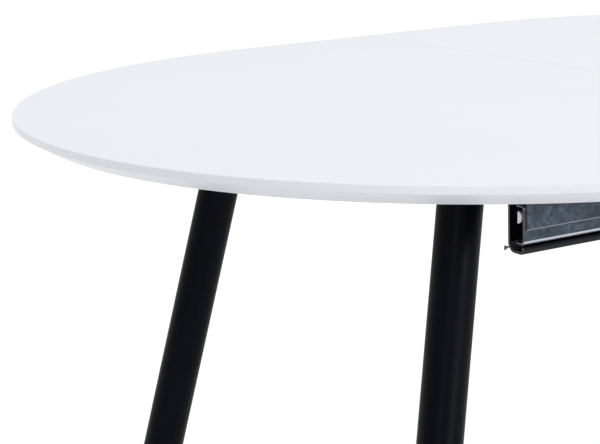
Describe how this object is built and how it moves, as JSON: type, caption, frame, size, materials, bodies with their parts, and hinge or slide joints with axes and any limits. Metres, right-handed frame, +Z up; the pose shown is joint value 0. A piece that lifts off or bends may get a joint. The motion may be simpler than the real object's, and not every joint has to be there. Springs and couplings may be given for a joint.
{
  "type": "extending dining table",
  "caption": "Oval extending table: white two-part top with an under-bevelled edge, splayed black tube legs, steel slide rails and a folded leaf stored below.",
  "frame": {"origin": "on the floor under the centre of the closed top", "axes": "+X along the table's length, +Y towards its back long side, +Z up"},
  "size_m": [1.5, 1.1, 0.75],
  "materials": {
    "white_top": "white laminate on MDF, satin",
    "black_paint": "black powder coat, satin",
    "zinc": "galvanised steel sheet with a faint spangle",
    "bare_steel": "zinc-plated steel",
    "nylon": "white moulded nylon",
    "glide": "black moulded plastic",
    "beech": "plain beech"
  },
  "bodies": {
    "centre_frame": {"centre_channel_front": "black_paint", "centre_channel_back": "black_paint", "corner_tab_front_left": "bare_steel", "corner_tab_front_right": "bare_steel", "corner_tab_back_left": "bare_steel", "corner_tab_back_right": "bare_steel", "axle_front_left": "bare_steel", "slide_shoe_front_left": "nylon", "shoe_pin_front_left": "bare_steel", "axle_front_right": "bare_steel", "slide_shoe_front_right": "nylon", "shoe_pin_front_right": "bare_steel", "axle_back_left": "bare_steel", "slide_shoe_back_left": "nylon", "shoe_pin_back_left": "bare_steel", "axle_back_right": "bare_steel", "slide_shoe_back_right": "nylon", "shoe_pin_back_right": "bare_steel", "cross_bar_left": "black_paint", "cross_bar_right": "black_paint", "leaf_lower": "white_top", "leaf_upper": "white_top", "leaf_hinge_left": "bare_steel", "leaf_hinge_right": "bare_steel"},
    "left_half": {"top_left": "white_top", "dowel_1": "beech", "dowel_2": "beech", "dowel_3": "beech", "leg_front_left": "black_paint", "leg_plate_front_left": "black_paint", "foot_glide_front_left": "glide", "slide_rail_front_left": "zinc", "rail_angle_front_left": "zinc", "leg_back_left": "black_paint", "leg_plate_back_left": "black_paint", "foot_glide_back_left": "glide", "slide_rail_back_left": "zinc", "rail_angle_back_left": "zinc", "latch_pivot_front": "bare_steel", "latch_pivot_back": "bare_steel"},
    "right_half": {"top_right": "white_top", "leg_front_right": "black_paint", "leg_plate_front_right": "black_paint", "foot_glide_front_right": "glide", "slide_rail_front_right": "zinc", "rail_angle_front_right": "zinc", "leg_back_right": "black_paint", "leg_plate_back_right": "black_paint", "foot_glide_back_right": "glide", "slide_rail_back_right": "zinc", "rail_angle_back_right": "zinc", "latch_stud_front": "bare_steel", "latch_stud_back": "bare_steel"},
    "latch_front": {"latch_lever_front": "bare_steel"},
    "latch_back": {"latch_lever_back": "bare_steel"},
    "roller_front_left": {"roller_front_left": "nylon"},
    "roller_front_right": {"roller_front_right": "nylon"},
    "roller_back_left": {"roller_back_left": "nylon"},
    "roller_back_right": {"roller_back_right": "nylon"}
  },
  "joints": [
    {"name": "left_half_slide", "type": "slide", "parent": "centre_frame", "child": "left_half", "axis": [-1, 0, 0], "range_m": [0, 0.25]},
    {"name": "right_half_slide", "type": "slide", "parent": "centre_frame", "child": "right_half", "axis": [1, 0, 0], "range_m": [0, 0.25]},
    {"name": "latch_front_turn", "type": "hinge", "parent": "left_half", "child": "latch_front", "pos_m": [-0.03, -0.455, 0.7172], "axis": [0, 0, -1], "range_deg": [0, 90]},
    {"name": "latch_back_turn", "type": "hinge", "parent": "left_half", "child": "latch_back", "pos_m": [-0.03, 0.455, 0.7172], "axis": [0, 0, 1], "range_deg": [0, 90]},
    {"name": "roller_front_left_spin", "type": "hinge", "parent": "centre_frame", "child": "roller_front_left", "pos_m": [-0.285, -0.3384, 0.6844], "axis": [0, 1, 0], "range_deg": [0, 865]},
    {"name": "roller_front_right_spin", "type": "hinge", "parent": "centre_frame", "child": "roller_front_right", "pos_m": [0.285, -0.3384, 0.6844], "axis": [0, 1, 0], "range_deg": [-865, 0]},
    {"name": "roller_back_left_spin", "type": "hinge", "parent": "centre_frame", "child": "roller_back_left", "pos_m": [-0.285, 0.3384, 0.6844], "axis": [0, 1, 0], "range_deg": [0, 865]},
    {"name": "roller_back_right_spin", "type": "hinge", "parent": "centre_frame", "child": "roller_back_right", "pos_m": [0.285, 0.3384, 0.6844], "axis": [0, 1, 0], "range_deg": [-865, 0]}
  ],
  "couplings": [
    {"joint": "roller_front_left_spin", "follows": "left_half_slide", "rad_per_m": 59.88},
    {"joint": "roller_front_right_spin", "follows": "right_half_slide", "rad_per_m": -59.88},
    {"joint": "roller_back_left_spin", "follows": "left_half_slide", "rad_per_m": 59.88},
    {"joint": "roller_back_right_spin", "follows": "right_half_slide", "rad_per_m": -59.88}
  ]
}
